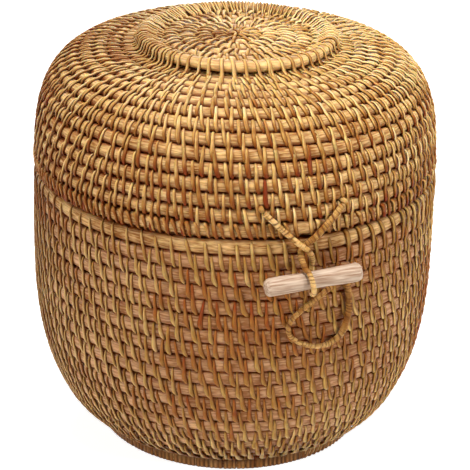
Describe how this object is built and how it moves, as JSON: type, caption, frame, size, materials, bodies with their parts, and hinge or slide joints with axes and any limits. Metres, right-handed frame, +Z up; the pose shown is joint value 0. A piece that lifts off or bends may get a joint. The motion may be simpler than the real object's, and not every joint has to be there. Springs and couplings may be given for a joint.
{
  "type": "coiled rattan box with lift-off lid and toggle closure",
  "caption": "Round coiled rattan box on a foot ring, with a domed lift-off lid, an inner collar and a peg-and-loop toggle closure.",
  "frame": {"origin": "centre of the foot ring's underside, on the surface that the box stands on", "axes": "+Z up along the box's turning axis, -Y towards the toggle closure, +X to the right as the closure is faced"},
  "size_m": [0.2, 0.2159, 0.2071],
  "materials": {
    "cane": "bare peeled rattan cane, satin",
    "hoop_cane": "thicker rattan cane, satin",
    "cord_cane": "cord wrapped in rattan peel, satin",
    "peg_wood": "pale whittled wood, matte"
  },
  "bodies": {
    "box_body": {"foot_ring": "hoop_cane", "base_coil": "cane", "wall_coil": "cane", "rim_hoop": "hoop_cane", "collar_coil": "cane", "body_loop_end_left": "cord_cane", "body_loop_end_right": "cord_cane"},
    "lid": {"lid_hoop": "hoop_cane", "lid_coil": "cane", "crown_hoop": "hoop_cane", "crown_coil": "cane", "lid_loop_end_left": "cord_cane", "lid_loop_end_right": "cord_cane"},
    "lid_cord": {"lid_loop": "cord_cane"},
    "peg": {"toggle_peg": "peg_wood"},
    "body_cord": {"body_loop": "cord_cane"}
  },
  "joints": [
    {"name": "lid_lift", "type": "slide", "parent": "box_body", "child": "lid", "axis": [0, 0, 1], "range_m": [0, 0.12]},
    {"name": "lid_loop_swing", "type": "hinge", "parent": "lid", "child": "lid_cord", "pos_m": [0, -0.0987, 0.155], "axis": [-1, 0, 0], "range_deg": [0, 160]},
    {"name": "peg_spin", "type": "hinge", "parent": "lid_cord", "child": "peg", "pos_m": [0.0026, -0.1081, 0.1218], "axis": [0.9983, 0, 0.0576], "continuous": true},
    {"name": "body_loop_swing", "type": "hinge", "parent": "box_body", "child": "body_cord", "pos_m": [0.0192, -0.0998, 0.1153], "axis": [-0.982, -0.189, 0], "range_deg": [0, 65]}
  ]
}
